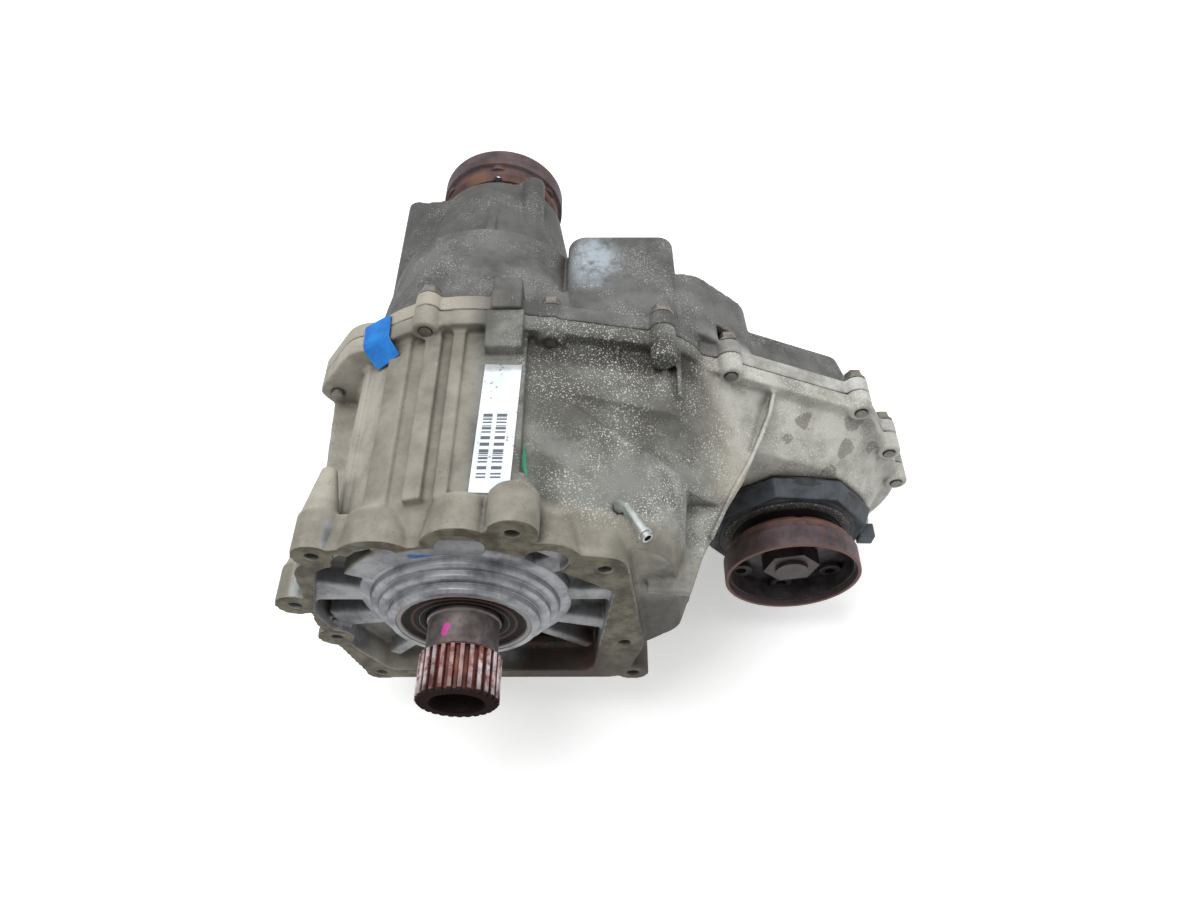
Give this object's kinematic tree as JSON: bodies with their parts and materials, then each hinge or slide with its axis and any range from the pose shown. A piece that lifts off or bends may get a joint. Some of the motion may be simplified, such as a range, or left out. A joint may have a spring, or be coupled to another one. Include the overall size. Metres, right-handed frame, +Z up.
{
  "type": "transfer case",
  "caption": "Split cast transfer case with a splined input, an in-line rear drive flange and an offset front drive flange driven by an enclosed chain.",
  "frame": {"origin": "input axis where it crosses the adapter face that bolts to the gearbox", "axes": "+Y along the input axis towards the rear output, +Z up, +X towards the front output's side"},
  "size_m": [0.4381, 0.445, 0.2941],
  "materials": {
    "zinc_plated": "satin",
    "bolt_steel": "satin",
    "sealant": "matte",
    "gear_steel": "satin",
    "bearing_steel": "polished",
    "cage_brass": "satin",
    "cast_aluminium": "rough",
    "flange_steel": "rough",
    "seal_rubber": "matte",
    "shield_steel": "matte",
    "spline_steel": "rough",
    "label": "satin",
    "cast_aluminium_dark": "rough",
    "strainer_plastic": "matte",
    "magnet": "matte"
  },
  "bodies": {
    "casing": {"breather_pipe": "zinc_plated", "case_bolts": "bolt_steel", "case_sealant": "sealant", "drain_plug": "zinc_plated", "drive_chain": "gear_steel", "fill_plug": "zinc_plated", "front_bearing_outer_race": "bearing_steel", "front_case": "cast_aluminium", "front_output_seal": "seal_rubber", "front_output_shield": "shield_steel", "input_bearing_outer_race": "bearing_steel", "input_seal": "seal_rubber", "label_plate": "label", "oil_pickup_tube": "zinc_plated", "oil_pump_housing": "cast_aluminium_dark", "oil_strainer": "strainer_plastic", "rear_bearing_outer_race": "bearing_steel", "rear_case": "cast_aluminium_dark", "rear_output_seal": "seal_rubber", "sump_magnet": "magnet", "tail_bearing_outer_race": "bearing_steel"},
    "input": {"input_shaft": "spline_steel", "pilot_bush": "cage_brass", "input_bearing_inner_race": "bearing_steel", "ring_gear": "gear_steel"},
    "rear_output": {"rear_output_shaft": "gear_steel", "planet_carrier": "gear_steel", "planet_pins": "gear_steel", "planet_gears": "gear_steel", "rear_bearing_inner_race": "bearing_steel", "rear_output_flange": "flange_steel", "rear_flange_nut": "bolt_steel", "pump_rotor": "gear_steel"},
    "sun": {"sun_gear": "gear_steel", "sleeve_bushes": "cage_brass", "drive_sprocket": "gear_steel", "sprocket_snap_ring": "gear_steel"},
    "front_output": {"front_output_shaft": "gear_steel", "driven_sprocket": "gear_steel", "front_bearing_inner_race": "bearing_steel", "tail_bearing_inner_race": "bearing_steel", "front_output_flange": "flange_steel", "front_flange_nut": "bolt_steel"},
    "input_bearing": {"input_bearing_cage": "cage_brass", "input_bearing_balls": "bearing_steel"},
    "rear_bearing": {"rear_bearing_cage": "cage_brass", "rear_bearing_balls": "bearing_steel"},
    "front_bearing": {"front_bearing_cage": "cage_brass", "front_bearing_balls": "bearing_steel"},
    "tail_bearing": {"tail_bearing_cage": "cage_brass", "tail_bearing_balls": "bearing_steel"}
  },
  "joints": [
    {"name": "input_spin", "type": "hinge", "parent": "casing", "child": "input", "pos_m": [0, 0, 0], "axis": [0, 1, 0], "continuous": true},
    {"name": "rear_output_spin", "type": "hinge", "parent": "casing", "child": "rear_output", "pos_m": [0, 0, 0], "axis": [0, 1, 0], "continuous": true},
    {"name": "drive_sprocket_spin", "type": "hinge", "parent": "casing", "child": "sun", "pos_m": [0, 0, 0], "axis": [0, 1, 0], "continuous": true},
    {"name": "front_output_spin", "type": "hinge", "parent": "casing", "child": "front_output", "pos_m": [0.22587, 0, -0.09356], "axis": [0, 1, 0], "continuous": true},
    {"name": "input_bearing_spin", "type": "hinge", "parent": "casing", "child": "input_bearing", "pos_m": [0, 0, 0], "axis": [0, 1, 0], "continuous": true},
    {"name": "rear_bearing_spin", "type": "hinge", "parent": "casing", "child": "rear_bearing", "pos_m": [0, 0, 0], "axis": [0, 1, 0], "continuous": true},
    {"name": "front_bearing_spin", "type": "hinge", "parent": "casing", "child": "front_bearing", "pos_m": [0.22587, 0, -0.09356], "axis": [0, 1, 0], "continuous": true},
    {"name": "tail_bearing_spin", "type": "hinge", "parent": "casing", "child": "tail_bearing", "pos_m": [0.22587, 0, -0.09356], "axis": [0, 1, 0], "continuous": true}
  ],
  "couplings": [
    {"joint": "rear_output_spin", "follows": "input_spin", "ratio": 1},
    {"joint": "drive_sprocket_spin", "follows": "input_spin", "ratio": 1},
    {"joint": "front_output_spin", "follows": "input_spin", "ratio": 1},
    {"joint": "input_bearing_spin", "follows": "input_spin", "ratio": 0.43},
    {"joint": "rear_bearing_spin", "follows": "input_spin", "ratio": 0.41385},
    {"joint": "front_bearing_spin", "follows": "input_spin", "ratio": 0.40667},
    {"joint": "tail_bearing_spin", "follows": "input_spin", "ratio": 0.40261}
  ]
}
